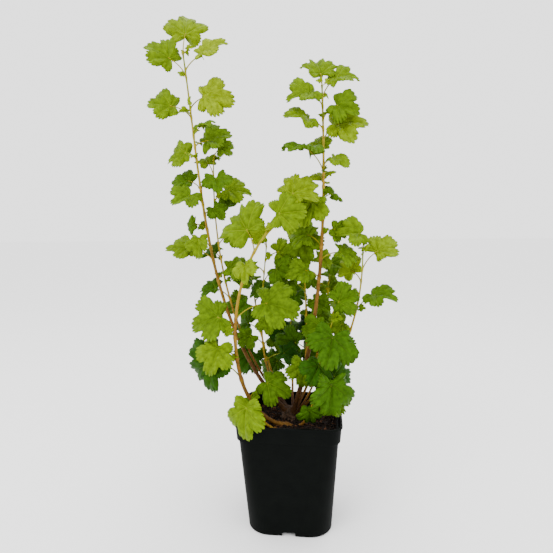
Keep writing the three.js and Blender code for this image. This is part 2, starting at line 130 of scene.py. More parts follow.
# Each shoot has its foot and tip, its lean and heading at both, its radius at both, the shares where
# the crown's stub ends and the foliage begins, how its leaves crowd towards the tip, the droop of its
# lowest and highest leaf, its seed, and the headings and widths of its leaves.
SHOOTS = {
    "left_tall": {
        "foot": (-8, 15, 152), "tip": (-159, 20, 692), "leave": (50, 9.6), "arrive": (8, 7.6),
        "radius": (3.2, 1.1), "stub": 0.07, "bare": 0.4, "crowd": 0.86, "droop": (22, -22), "seed": 453,
        "hours": (3, 9, 7, 10, 3, 6.5, 9, 2, 9, 2, 4.5, 9, 3, 8.5, 9, 3, 12),
        "widths": (42, 54, 38, 30, 32, 46, 42, 34, 46, 50, 32, 46, 52, 28, 54, 50, 58),
    },
    "left_second": {
        "foot": (-6, 24, 152), "tip": (-122, 45, 540), "leave": (47, 9.5), "arrive": (2.5, 3.4),
        "radius": (2.2, 0.9), "stub": 0.09, "bare": 0.46, "crowd": 0.85, "droop": (20, -5), "seed": 32,
        "hours": (9, 3, 11, 3, 9, 1, 3, 5, 10, 3),
        "widths": (42, 44, 36, 36, 32, 32, 48, 42, 34, 34),
    },
    "front_left": {
        "foot": (-6, -18, 144), "tip": (-10, -45, 440), "leave": (81, 8.8), "arrive": (57, 2.5),
        "radius": (3.2, 1.4), "stub": 0, "bare": 0.22, "crowd": 0.95, "droop": (28, -5), "seed": 553,
        "hours": (3, 9, 8, 9.5, 3, 3, 5, 10.5, 4, 2),
        "widths": (46, 68, 48, 54, 66, 36, 30, 66, 46, 54),
    },
    "centre": {
        "foot": (-3, 30, 150), "tip": (-40, 40, 405), "leave": (48, 9.3), "arrive": (5, 2.7),
        "radius": (1.8, 0.8), "stub": 0.11, "bare": 0.32, "crowd": 0.9, "droop": (20, 0), "seed": 319,
        "hours": (3, 9, 5, 8, 11, 3, 9, 2, 10),
        "widths": (40, 32, 30, 34, 28, 40, 26, 36, 32),
    },
    "centre_right": {
        "foot": (4, 24, 150), "tip": (16, 60, 411), "leave": (24, 2), "arrive": (1, 11.6),
        "radius": (2.0, 0.8), "stub": 0.1, "bare": 0.34, "crowd": 0.9, "droop": (22, 0), "seed": 618,
        "hours": (9, 2, 10, 4, 8, 11, 3, 6.5, 10),
        "widths": (44, 38, 44, 34, 40, 36, 34, 52, 36),
    },
    "right_tall": {
        "foot": (1, 12, 150), "tip": (46, 0, 632), "leave": (18, 2.9), "arrive": (2, 9.2),
        "radius": (3.6, 1.1), "stub": 0.06, "bare": 0.42, "crowd": 0.86, "droop": (25, -20), "seed": 215,
        "hours": (9, 3, 10, 2, 9, 7.5, 1, 12, 8.5, 4, 11, 3, 9, 3, 9, 2.5, 12),
        "widths": (40, 36, 44, 30, 42, 52, 28, 36, 54, 32, 30, 54, 48, 42, 46, 44, 50),
    },
    "right_outer": {
        "foot": (5, 18, 150), "tip": (105, 10, 395), "leave": (51, 3.5), "arrive": (1, 8),
        "radius": (2.2, 1.0), "stub": 0.11, "bare": 0.56, "crowd": 0.9, "droop": (22, 0), "seed": 183,
        "hours": (9, 3.2, 9, 11, 2, 9),
        "widths": (34, 44, 36, 36, 48, 46),
    },
    "right_mid": {
        "foot": (4, 10, 150), "tip": (62, -10, 300), "leave": (42, 3.4), "arrive": (20, 4),
        "radius": (1.8, 0.9), "stub": 0.16, "bare": 0.45, "crowd": 0.9, "droop": (35, 5), "seed": 526,
        "hours": (8, 3, 5, 10, 2),
        "widths": (44, 40, 66, 38, 46),
    },
    "left_low": {
        "foot": (-22, -30, 143), "tip": (-56, -50, 172), "leave": (62, 8), "arrive": (75, 8),
        "radius": (2.2, 1.2), "stub": 0, "bare": 0.5, "crowd": 0.9, "droop": (35, 35), "seed": 411,
        "hours": (4.5, 7, 9),
        "widths": (46, 54, 24),
    },
    "right_low": {
        "foot": (14, -16, 143), "tip": (46, -38, 212), "leave": (50, 4), "arrive": (35, 4),
        "radius": (2.2, 1.2), "stub": 0, "bare": 0.42, "crowd": 0.9, "droop": (50, 15), "seed": 68,
        "hours": (6, 3.5, 5, 3, 7),
        "widths": (34, 40, 60, 46, 38),
    },
    "back_left": {
        "foot": (-8, 32, 150), "tip": (-72, 92, 345), "leave": (48, 10.5), "arrive": (14, 10.5),
        "radius": (2.2, 0.9), "stub": 0.13, "bare": 0.38, "crowd": 0.9, "droop": (30, 0), "seed": 271,
        "hours": (9, 1, 10, 12, 8, 2, 11, 9),
        "widths": (44, 46, 48, 44, 42, 40, 42, 36),
    },
    "back_right": {
        "foot": (4, 30, 150), "tip": (58, 98, 360), "leave": (45, 1.5), "arrive": (12, 1),
        "radius": (2.2, 0.9), "stub": 0.12, "bare": 0.36, "crowd": 0.9, "droop": (30, 0), "seed": 391,
        "hours": (3, 12, 10, 2, 4, 12, 9, 1, 3),
        "widths": (46, 48, 42, 46, 44, 42, 38, 40, 36),
    },
    "back_centre": {
        "foot": (-1, 34, 150), "tip": (-8, 112, 300), "leave": (52, 12), "arrive": (18, 12),
        "radius": (2.0, 0.9), "stub": 0.16, "bare": 0.38, "crowd": 0.9, "droop": (32, 0), "seed": 457,
        "hours": (10, 2, 12, 9, 3, 11, 1),
        "widths": (46, 46, 50, 42, 42, 40, 38),
    },
}

# Hash draws. The first ten are the source's, and the others belong to the finer forms made here.
DRAW = {
    "share": 0, "hour": 1, "width": 2, "stalk": 3, "rise": 4, "droop": 5, "turn": 6, "roll": 7,
    "fold": 8, "bend": 9, "curl": 12, "wave": 13, "count": 20, "tone": 30,
}
SEED_WAVE = 12.9898
DRAW_WAVE = 78.233
WAVE_HEIGHT = 43758.5453


def chance(seed, draw):
    wave = math.sin(seed * SEED_WAVE + draw * DRAW_WAVE) * WAVE_HEIGHT
    return wave - math.floor(wave)


def swing(seed, draw):
    return 2 * chance(seed, draw) - 1


def lerp(low, high, share):
    return low + (high - low) * share


def unit(vector):
    return vector / np.linalg.norm(vector)


def hour_angle(hour):
    return 2 * math.pi * hour / 12


def leaning(degrees, hour):
    lean = math.radians(degrees)
    heading = hour_angle(hour)
    level = math.sin(lean)
    return np.array((level * math.sin(heading), level * math.cos(heading), math.cos(lean)))


def climbing(degrees, hour):
    return leaning(90 - degrees, hour)


def turned(vector, axis, angle):
    return (vector * math.cos(angle) + np.cross(axis, vector) * math.sin(angle)
            + axis * np.dot(axis, vector) * (1 - math.cos(angle)))


class Shoot:
    """One shoot: its values from the table, its route and its radius."""

    def __init__(self, name, values):
        self.name = name
        self.__dict__.update(values)
        foot, tip = np.array(self.foot, float), np.array(self.tip, float)
        self.length = np.linalg.norm(tip - foot)
        handle = self.length / 3
        self.knots = (foot, foot + leaning(*self.leave) * handle,
                      tip - leaning(*self.arrive) * handle, tip)

    def point(self, share):
        a, b, c, d = self.knots
        rest = 1 - share
        return rest ** 3 * a + 3 * rest * rest * share * b + 3 * rest * share * share * c + share ** 3 * d

    def heading(self, share):
        return unit(self.point(share + NEAR_SHARE) - self.point(share - NEAR_SHARE))

    def girth(self, share):
        flare = max(0, 1 - share / FLARE_SHARE)
        return lerp(*self.radius, share) * (1 + FLARE * flare * flare)


def leaf_place(shoot, index, attempt):
    """Where a leaf grows and how it is turned, for one of its tries."""
    last = len(shoot.hours) - 1
    height = index / last
    seed = shoot.seed + LEAF_SEED_STEP * index + TRY_SEED_STEP * attempt
    step = (1 - shoot.bare) / (last + 1)
    between = SPACING_SWING * step * swing(seed, DRAW["share"]) if 0 < index < last else 0
    share = shoot.bare + LEAF_START + (LEAF_END - shoot.bare) * height ** shoot.crowd + between
    root = shoot.point(share)
    hour = shoot.hours[index] + HOUR_SWING * swing(seed, DRAW["hour"])
    width = shoot.widths[index] * (1 + WIDTH_SWING * swing(seed, DRAW["width"]))

    stalk = width * STALK_SHARE * (1 + STALK_SWING * swing(seed, DRAW["stalk"]))
    tip_rise = STALK_TIP_RISE if index == last else 0
    rise = RISE + RISE_SWING * swing(seed, DRAW["rise"]) + RISE_GAIN * height + tip_rise
    knee = root + climbing(rise, hour) * stalk / 2
    base = knee + climbing(rise - STALK_ARCH, hour) * stalk / 2

    facing = FRONT_DROOP * math.cos(hour_angle(hour))
    droop = lerp(*shoot.droop, height) + DROOP_SWING * swing(seed, DRAW["droop"]) - facing
    midrib = climbing(-droop, hour + swing(seed, DRAW["turn"]))
    wanted = unit(LIGHT + UP * UPWARD_PULL + climbing(0, hour) * OUTWARD_PULL)
    up = wanted - midrib * np.dot(wanted, midrib)
    if np.linalg.norm(up) < LEAST_PULL:
        up = UP - midrib * np.dot(UP, midrib)
    up = turned(unit(up), midrib, math.radians(ROLL_SWING * swing(seed, DRAW["roll"])))
    return {
        "root": root, "knee": knee, "base": base, "midrib": midrib, "up": up,
        "side": np.cross(midrib, up), "width": width, "share": share, "seed": seed,
        "fold": math.radians(FOLD + FOLD_RANGE * chance(seed, DRAW["fold"])),
        "bend": BEND + BEND_SWING * swing(seed, DRAW["bend"]),
    }


def lobe_reach(degrees, notch, power):
    """Reach of the lobed outline at angles from the midrib, as a share of the middle lobe's."""
    degrees = np.abs(np.asarray(degrees, float))
    reach = [length * (1 - notch * (np.abs(degrees - angle) / width) ** power)
             for angle, length, width in LOBES]
    return np.maximum(LOBE_FLOOR, np.max(reach, axis=0))


def blade_surface(place, along, across, lift=0.0, crease=0.0):
    """Points of a blade from its own flat coordinates, bent and folded as the leaf is. A crease
    above nought rounds the fold along the midrib."""
    reach = np.hypot(along, across)
    soft = np.sqrt(across ** 2 + crease ** 2) - crease
    height = soft * math.sin(place["fold"]) - place["bend"] * reach ** 2 / place["width"] + lift
    return (place["base"] + np.multiply.outer(along, place["midrib"])
            + np.multiply.outer(across * math.cos(place["fold"]), place["side"])
            + np.multiply.outer(height, place["up"]))


def kept_places(shoot):
    """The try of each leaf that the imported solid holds, and none where the leaf was skipped."""
    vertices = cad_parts[f"foliage_{shoot.name}"].data.vertices
    tree = KDTree(len(vertices))
    for vertex in vertices:
        tree.insert(vertex.co / MM, vertex.index)
    tree.balance()
    degrees = np.array([sign * angle for angle in RIM_ANGLES for sign in (-1, 1)], float)
    turn = np.radians(degrees)
    places = []
    for index in range(len(shoot.hours)):
        for attempt in range(LEAF_TRIES):
            place = leaf_place(shoot, index, attempt)
            reach = LEAF_REACH * place["width"] * lobe_reach(degrees, LOBE_NOTCH, LOBE_POWER)
            rim = blade_surface(place, reach * np.cos(turn), reach * np.sin(turn))
            near = sum(tree.find(Vector(point))[2] < RIM_MATCH for point in rim)
            if near > len(rim) / 2:
                places.append(place)
                break
    return places


# An edge of a gathered piece that turns by more degrees than this stays sharp.
RIM_TURN = 60


class Gather:
    """The points and faces of one piece, put together from many small shapes."""

    def __init__(self):
        self.points = []
        self.faces = []
        self.paints = []
        self.count = 0

    def add(self, points, faces, paints=0):
        self.points.append(np.asarray(points, float))
        for group in faces:
            self.faces += (np.asarray(group, int) + self.count).tolist()
        total = sum(len(group) for group in faces)
        self.paints.append(np.broadcast_to(np.asarray(paints, int), (total,)))
        self.count += len(points)

    def piece(self, name, materials, slot, *nodes):
        mesh = bpy.data.meshes.new(name)
        mesh.from_pydata(np.concatenate(self.points) * MM, [], self.faces)
        for material in materials:
            mesh.materials.append(material)
        mesh.polygons.foreach_set("material_index", np.concatenate(self.paints).astype(np.int32))
        mesh.polygons.foreach_set("use_smooth", np.ones(len(mesh.polygons), bool))
        mesh.update()
        mesh.set_sharp_from_angle(angle=math.radians(RIM_TURN))
        dress(mesh, slot, *nodes)


def dress(mesh, slot, *nodes):
    """Puts a mesh into the scene in place of the nodes that it replaces."""
    piece = bpy.data.objects.new(mesh.name, mesh)
    bpy.context.collection.objects.link(piece)
    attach(piece, "root")
    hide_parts(*nodes)


def skin(rows, columns, flip=False):
    """Quads over a grid whose columns close on themselves. A flipped skin keeps the same diagonals."""
    row, column = np.meshgrid(np.arange(rows - 1), np.arange(columns), indexing="ij")
    here = row * columns + column
    beside = row * columns + (column + 1) % columns
    corners = [here, beside, beside + columns, here + columns]
    if flip:
        corners = [here, here + columns, beside + columns, beside]
    return np.stack(corners, -1).reshape(-1, 4)


def fan(hub, first, columns, flip=False):
    """Triangles from a hub to a closed ring of points."""
    here = first + np.arange(columns)
    beside = first + (np.arange(columns) + 1) % columns
    corners = [np.full(columns, hub), here, beside]
    if flip:
        corners.reverse()
    return np.stack(corners, -1)


def loft(rings):
    """A closed skin over rings of equally many points, with a hub in the middle of each end."""
    rings = np.asarray(rings, float)
    rows, columns = rings.shape[:2]
    points = np.concatenate((rings.reshape(-1, 3), [rings[0].mean(0)], [rings[-1].mean(0)]))
    faces = [skin(rows, columns), fan(rows * columns, 0, columns, True),
             fan(rows * columns + 1, (rows - 1) * columns, columns)]
    return points, faces


def around(sides):
    return 2 * np.pi * np.arange(sides) / sides


# A limb that sets out steeper than this takes its first side from the Y axis.
STEEP = 0.9


def tube(line, radii, sides, relief=None):
    """A round limb along a line of points. The relief swells or sinks each ring's points."""
    line = np.asarray(line, float)
    headings = np.gradient(line, axis=0)
    headings /= np.linalg.norm(headings, axis=1)[:, None]
    steep = abs(headings[0][2]) > STEEP
    side = unit(np.cross(headings[0], np.array((0.0, 1.0, 0.0)) if steep else UP))
    turn = around(sides)
    if relief is None:
        relief = np.zeros((len(line), sides))
    rings = []
    for centre, heading, radius, swell in zip(line, headings, radii, relief):
        side = unit(side - heading * np.dot(side, heading))
        other = np.cross(heading, side)
        reach = radius * (1 + swell)
        rings.append(centre + np.outer(reach * np.cos(turn), side) + np.outer(reach * np.sin(turn), other))
    return loft(rings)


# Dressed leaf. Each sector between two main veins has whole teeth, with the veins on tooth tips.
SECTORS = (-180, *(-lobe[0] for lobe in reversed(LOBES[1:])), *(lobe[0] for lobe in LOBES), 180)
SECTOR_TEETH = (8, 6, 6, 6, 6, 8)
TOOTH_STEPS = (0, 0.33, 0.5, 0.67)
TOOTH_DEPTH = 0.1
TOOTH_POWER = 0.5
TOOTH_SWING = 0.35
TOOTH_PHASES = (7, 40)
TOOTH_FADE = 7
ROUND_NOTCH = 0.62
ROUND_POWER = 4
LOPSIDED = 0.03
LOPSIDED_PHASE = 9
LEAF_RINGS = (0.06, 0.17, 0.29, 0.42, 0.55, 0.68, 0.81, 0.92, 1.0)
SMALL_LEAF_RINGS = LEAF_RINGS[::2]
SMALL_LEAF = 22
USUAL_LEAF = 44

# Dressed leaf's relief: thickness, vein strips, side veins with puffed cells, pleats and waves

# A fade is the power of the way out to the rim with which a form dies away or grows.
SKIN_HALF = 0.22
VEIN_HALF = (0.50, 0.14)
VEIN_WIDEST = 9
VEIN_GROOVE = 0.4
VEIN_RIDGE = 0.6
VEIN_THINNING = 0.7
GROOVE_HALF = 0.8
GROOVE_FADE = 4
SKIN_FADE = 6
BRANCH_SPACING = 0.19
BRANCH_SLANT = 0.85
BRANCH_FOOT = 1.6
PUFF = 0.044
PUFF_FADE = 5
PLEAT = 0.30
PLEAT_SPAN = 0.2
CREASE = 0.55
RIM_CURL = 0.11
CURL_FADE = 5
CURL_RANGE = (0.6, 1.4)

# Waves: height as a share of the leaf's width, count round the leaf, and fade
WAVES = ((0.070, 3, 2), (0.034, 6, 3), (0.018, 11, 4))


def leaf_columns(width, share):
    """Angle and running tooth count of each column of one ring of a leaf."""
    half = lerp(*VEIN_HALF, share) * width / USUAL_LEAF
    gap = min(VEIN_WIDEST, math.degrees(math.atan2(half, share * LEAF_REACH * width)))
    degrees, teeth = [], []
    passed = 0
    for start, end, count in zip(SECTORS, SECTORS[1:], SECTOR_TEETH):
        low = start + (gap if start > -180 else 0)
        high = end - (gap if end < 180 else 0)
        steps = np.append(np.add.outer(np.arange(count), TOOTH_STEPS).ravel(), count)
        degrees.append(low + (high - low) * steps / count)
        teeth.append(passed + steps)
        passed += count
    return np.concatenate(degrees)[:-1], np.concatenate(teeth)[:-1]


def leaf_reach(place, share, degrees, teeth):
    """How far each column of a ring lies from the stalk: the lobed outline with its rounded teeth."""
    notch = 1 - np.abs(np.cos(np.pi * teeth)) ** TOOTH_POWER
    by_tooth, by_seed = TOOTH_PHASES
    swell = TOOTH_SWING * np.sin(by_tooth * np.rint(teeth) + by_seed * place["seed"])
    depth = TOOTH_DEPTH * (1 + swell) * share ** TOOTH_FADE
    uneven = 1 + LOPSIDED * np.sin(2 * np.radians(degrees) + LOPSIDED_PHASE * place["seed"])
    outline = lobe_reach(degrees, ROUND_NOTCH, ROUND_POWER) * uneven
    return share * LEAF_REACH * place["width"] * outline * (1 - depth * notch)


def leaf_relief(place, share, degrees, reach):
    """Height of the blade's middle over its flat form, and how near each column is to a main vein."""
    width, seed = place["width"], place["seed"]
    scale = width / USUAL_LEAF
    veins = np.array(SECTORS[1:-1], float)
    nearest = veins[np.abs(degrees[:, None] - veins[None, :]).argmin(1)]
    off = np.radians(degrees - nearest)
    across_vein = np.abs(reach * np.sin(off))
    along_vein = reach * np.cos(off)
    branch = (along_vein - BRANCH_SLANT * across_vein) / (BRANCH_SPACING * width)
    clear = (1 - np.exp(-(across_vein / (BRANCH_FOOT * scale)) ** 2)) * (1 - share ** PUFF_FADE)
    height = PUFF * width * np.sin(np.pi * branch) ** 2 * clear
    height += PLEAT * np.minimum(across_vein, PLEAT_SPAN * width)
    height -= RIM_CURL * width * share ** CURL_FADE * lerp(*CURL_RANGE, chance(seed, DRAW["curl"]))
    for number, (size, count, power) in enumerate(WAVES):
        phase = 2 * math.pi * chance(seed, DRAW["wave"] + number)
        height += size * width * share ** power * np.sin(count * np.radians(degrees) + phase)
    near_vein = np.exp(-(across_vein / (GROOVE_HALF * scale)) ** 2) * (1 - VEIN_THINNING * share)
    return height, near_vein * scale


def leaf_ring(place, share, under):
    """One ring of a leaf's upper or lower skin."""
    degrees, teeth = leaf_columns(place["width"], share)
    reach = leaf_reach(place, share, degrees, teeth)
    height, near_vein = leaf_relief(place, share, degrees, reach)
    body = SKIN_HALF * (1 - share ** SKIN_FADE)
    if under:
        height = height - body - VEIN_RIDGE * near_vein * (1 - share)
    else:
        height = height + body - VEIN_GROOVE * near_vein * (1 - share ** GROOVE_FADE)
    turn = np.radians(degrees)
    return blade_surface(place, reach * np.cos(turn), reach * np.sin(turn), height, CREASE)


def add_leaf(gather, place, top, under, vein):
    """A leaf as two skins that share its toothed rim, with its main veins in their own colour."""
    shares = LEAF_RINGS if place["width"] > SMALL_LEAF else SMALL_LEAF_RINGS
    upper = [leaf_ring(place, share, False) for share in shares]
    lower = [leaf_ring(place, share, True) for share in shares[:-1]]
    rows, columns = len(upper), len(upper[0])
    hubs = blade_surface(place, np.zeros(2), np.zeros(2), np.array((SKIN_HALF, -SKIN_HALF)), CREASE)
    points = np.concatenate((*upper, *lower, hubs))
    first_under = rows * columns
    top_hub = first_under + (rows - 1) * columns
    rim = first_under - columns + np.arange(columns)
    rim_beside = np.roll(rim, -1)
    last_under = top_hub - columns + np.arange(columns)
    last_beside = np.roll(last_under, -1)
    seam = np.stack((rim, last_under, last_beside, rim_beside), -1)
    faces = [
        skin(rows, columns), skin(rows - 1, columns, True) + first_under, seam,
        fan(top_hub, 0, columns), fan(top_hub + 1, first_under, columns, True),
    ]
    # The faces from a sector's last column to the next sector's first make a main vein's strip.
    last_columns = np.cumsum([count * len(TOOTH_STEPS) + 1 for count in SECTOR_TEETH])[:-1] - 1
    on_vein = np.isin(np.arange(columns), last_columns)
    paints = np.concatenate((
        np.where(np.tile(on_vein, rows - 1), vein, top),
        np.where(np.tile(on_vein, rows - 2), vein, under),
        np.full(columns, under),
        np.full(2 * columns, vein),
    ))
    gather.add(points, faces, paints)


# Colours in linear light

# Leaf colours run from the dark inner leaves to the young yellow-green ones: painted shade at the dark end
# and painted light at the light end, besides the leaves' own colour. Undersides and veins step with them.
LEAF_TOPS = (
    (0.008, 0.039, 0.0004), (0.016, 0.057, 0.0004), (0.030, 0.080, 0.0004), (0.050, 0.106, 0.0004),
    (0.073, 0.134, 0.0004), (0.097, 0.162, 0.0004), (0.128, 0.193, 0.0004), (0.170, 0.236, 0.0004),
)
LEAF_UNDERS = ((0.032, 0.064, 0.0040), (0.066, 0.120, 0.0050), (0.120, 0.180, 0.0060))
LEAF_VEINS = ((0.030, 0.062, 0.0010), (0.080, 0.140, 0.0015), (0.150, 0.215, 0.0020))

# Stem colours run from the old wood at the crown to the green tips, with blended steps between them.
STEM_COLOURS = (
    (0.036, 0.014, 0.004), (0.078, 0.032, 0.006), (0.145, 0.068, 0.008), (0.235, 0.138, 0.010),
    (0.280, 0.196, 0.010), (0.240, 0.200, 0.008), (0.140, 0.165, 0.004),
)
STEM_BLENDS = 3

BARK = (0.050, 0.026, 0.013)
PLASTIC = (0.0017, 0.0023, 0.0019)
EARTH = (0.008, 0.0045, 0.003)
CRUMBS = {
    "crumb_dark": (0.007, 0.004, 0.0025), "crumb_brown": (0.024, 0.012, 0.006),
    "crumb_red": (0.075, 0.030, 0.013),
}
PALE = (0.94, 0.94, 0.94)

# Surfaces: roughness, how much the base colour varies, strength of the relief, fineness and gloss
SURFACES = {
    "leaf_top": {"roughness": 0.50, "speckle": 0.32, "bump": 0.45, "scale": 170, "specular": 0.05},
    "leaf_under": {"roughness": 0.65, "speckle": 0.24, "bump": 0.40, "scale": 140, "specular": 0.04},
    "leaf_vein": {"roughness": 0.55, "speckle": 0.08, "bump": 0.20, "scale": 90, "specular": 0.10},
    "stem": {"roughness": 0.62, "speckle": 0.30, "bump": 0.55, "scale": 160, "specular": 0.12},
    "bark": {"roughness": 0.80, "speckle": 0.45, "bump": 0.90, "scale": 220, "specular": 0.20},
    "plastic": {"roughness": 0.55, "speckle": 0.18, "bump": 0.12, "scale": 60, "specular": 0.03},
    "earth": {"roughness": 0.95, "speckle": 0.50, "bump": 0.90, "scale": 140, "specular": 0.10},
    "crumb": {"roughness": 0.90, "speckle": 0.45, "bump": 0.75, "scale": 200, "specular": 0.10},
    "floor": {"roughness": 0.90, "speckle": 0.004, "bump": 0, "scale": 3, "specular": 0.10},
}
NOISE_SPAN = (0.3, 0.7)
NOISE_DETAIL = 4

# The relief is finer than the change of colour by this scale.
RELIEF_SCALE = 6
RELIEF_DETAIL = 3
RELIEF_HEIGHT = 0.6

# How light each shoot's leaves are, from its lowest to its highest: painted shade on the low, inner and
# back shoots and painted light on the high leaves, besides the young leaves' yellower colour
TONES = {
    "left_tall": (0.56, 0.84), "left_second": (0.50, 0.64), "front_left": (0.40, 0.70),
    "centre": (0.22, 0.64), "centre_right": (0.26, 0.76), "right_tall": (0.50, 0.74),
    "right_outer": (0.52, 0.72), "right_mid": (0.30, 0.42), "left_low": (0.44, 0.50),
    "right_low": (0.24, 0.26), "back_left": (0.26, 0.52), "back_right": (0.26, 0.54),
    "back_centre": (0.20, 0.46),
}

# How far up each shoot is woody, as a share of the way to its tip
WOODY = {
    "left_tall": 0.46, "left_second": 0.40, "front_left": 0.60, "centre": 0.30,
    "centre_right": 0.32, "right_tall": 0.60, "right_outer": 0.38, "right_mid": 0.28,
    "left_low": 0.12, "right_low": 0.16, "back_left": 0.26, "back_right": 0.26,
    "back_centre": 0.24,
}

# Where a shoot's foot lies among the stem colours, if that isn't the oldest wood
WOOD_START = {"front_left": 1.5, "right_outer": 0.8, "left_low": 1.5, "right_low": 1.5}


def noise_texture(material, place, scale, detail):
    noise = material.node_tree.nodes.new("ShaderNodeTexNoise")
    noise.inputs["Scale"].default_value = scale
    noise.inputs["Detail"].default_value = detail
    material.node_tree.links.new(place.outputs["Object"], noise.inputs["Vector"])
    return noise.outputs["Fac"]


def plain_material(name, base, roughness, speckle, bump, scale, specular):
    """A surface whose base colour and relief vary finely from place to place."""
    material = bpy.data.materials.new(name)
    material.use_nodes = True
    nodes, links = material.node_tree.nodes, material.node_tree.links
    shader = nodes["Principled BSDF"]
    shader.inputs["Roughness"].default_value = roughness
    shader.inputs["Specular IOR Level"].default_value = specular
    place = nodes.new("ShaderNodeTexCoord")
    ramp = nodes.new("ShaderNodeValToRGB")
    low, high = ramp.color_ramp.elements
    low.position, high.position = NOISE_SPAN
    low.color = (*[channel * (1 - speckle) for channel in base], 1)
    high.color = (*[min(1, channel * (1 + speckle)) for channel in base], 1)
    links.new(noise_texture(material, place, scale, NOISE_DETAIL), ramp.inputs["Fac"])
    links.new(ramp.outputs["Color"], shader.inputs["Base Color"])
    lift = nodes.new("ShaderNodeBump")
    lift.inputs["Strength"].default_value = bump
    lift.inputs["Distance"].default_value = RELIEF_HEIGHT * MM
    relief = noise_texture(material, place, scale * RELIEF_SCALE, RELIEF_DETAIL)
    links.new(relief, lift.inputs["Height"])
    links.new(lift.outputs["Normal"], shader.inputs["Normal"])
    return material


def shades(name, bases):
    """One material for each of several colours of the surface of that name."""
    return [plain_material(f"{name}_{number}", base, **SURFACES[name]) for number, base in enumerate(bases)]


def blended(colours, blends):
    """The colours with evenly mixed ones between them, a given number of steps from each to the next."""
    colours = np.array(colours)
    steps = blends * (len(colours) - 1)
    places = np.linspace(0, len(colours) - 1, steps + 1)
    return np.stack([np.interp(places, range(len(colours)), channel) for channel in colours.T], 1)


leaf_materials = [
    *shades("leaf_top", LEAF_TOPS), *shades("leaf_under", LEAF_UNDERS), *shades("leaf_vein", LEAF_VEINS),
]
stem_materials = shades("stem", blended(STEM_COLOURS, STEM_BLENDS))
bark_material = plain_material("old_bark", BARK, **SURFACES["bark"])
plastic_material = plain_material("black_plastic", PLASTIC, **SURFACES["plastic"])
earth_materials = [
    plain_material("compost_earth", EARTH, **SURFACES["earth"]),
    *[plain_material(name, base, **SURFACES["crumb"]) for name, base in CRUMBS.items()],
]


def leaf_paints(tone):
    """Material places of a leaf's top, underside and veins for a tone from 0, dark with painted shade, to
    1, light and partly painted light.
    """
    tops, unders, veins = len(LEAF_TOPS), len(LEAF_UNDERS), len(LEAF_VEINS)
    top, under, vein = [min(max(int(tone * count), 0), count - 1) for count in (tops, unders, veins)]
    return top, tops + under, tops + unders + vein


# Stalks, buds and small side leaves
STALK_GIRTH = (1.05, 0.62)
STALK_FOOT = 0.9
STALK_FOOT_SHARE = 0.07
STALK_END = 0.25
STALK_END_POWER = 8
STALK_CHANNEL = 0.14
STALK_CHANNEL_HALF = 0.6
STALK_STEPS = 12
STALK_SIDES = 8
STALK_INTO_BLADE = 0.04
SIDE_STALK = 0.55
BUD_WIDTH = 1.5
BUD_LENGTH = 4.2
BUD_STEPS = 7
BUD_LEAN = 0.45
BUD_SINK = 0.8
BUD_FOOT = 0.22
BUD_POINT = 0.65
BUD_TIP = 0.1
SIDE_LEAF_CHANCE = 0.55
SIDE_LEAF_WIDTH = (9, 17)
SIDE_STALK_SHARE = (0.5, 0.8)
SIDE_HOUR_SWING = 3.2
SIDE_RISE = 55
SIDE_RISE_SWING = 20
SIDE_STALK_ARCH = 15
SIDE_CLIMB = 18
SIDE_CLIMB_SWING = 30
SIDE_FOLD = (24, 44)
SIDE_BEND = 0.25
SIDE_BEND_SWING = 0.2
SIDE_SEED_STEP = 1.9
HOUR_DEGREES = 30
TIP_SHARE = 0.97
TIP_LEAVES = 2


def add_stalk(gather, place, paint, scale=1.0):
    """The stalk: out of the stem's side, over its knee and into the foot of the midrib."""
    start = place["root"]
    end = place["base"] + place["midrib"] * STALK_INTO_BLADE * place["width"]
    control = 2 * place["knee"] - (start + end) / 2
    shares = np.linspace(0, 1, STALK_STEPS)
    rest = 1 - shares
    line = np.outer(rest ** 2, start) + np.outer(2 * shares * rest, control) + np.outer(shares ** 2, end)
    foot = STALK_FOOT * np.exp(-(shares / STALK_FOOT_SHARE) ** 2)
    girth = scale * (lerp(*STALK_GIRTH, shares) + foot + STALK_END * shares ** STALK_END_POWER)
    channel = -STALK_CHANNEL * np.exp(-((around(STALK_SIDES) - np.pi) / STALK_CHANNEL_HALF) ** 2)
    gather.add(*tube(line, girth, STALK_SIDES, np.tile(channel, (STALK_STEPS, 1))), paint)


def add_bud(gather, place, shoot, paint):
    """The bud in a leaf's axil."""
    outward = unit(place["knee"] - place["root"])
    heading = unit(outward * BUD_LEAN + shoot.heading(place["share"]))
    start = place["root"] + outward * shoot.girth(place["share"]) * BUD_SINK
    shares = np.linspace(0, 1, BUD_STEPS)
    line = start + np.outer(shares * BUD_LENGTH, heading)
    swell = np.abs(np.sin(np.pi * lerp(BUD_FOOT, 1, shares))) ** BUD_POINT
    girth = BUD_WIDTH / 2 * np.maximum(BUD_TIP, swell)
    gather.add(*tube(line, girth, STALK_SIDES), paint)


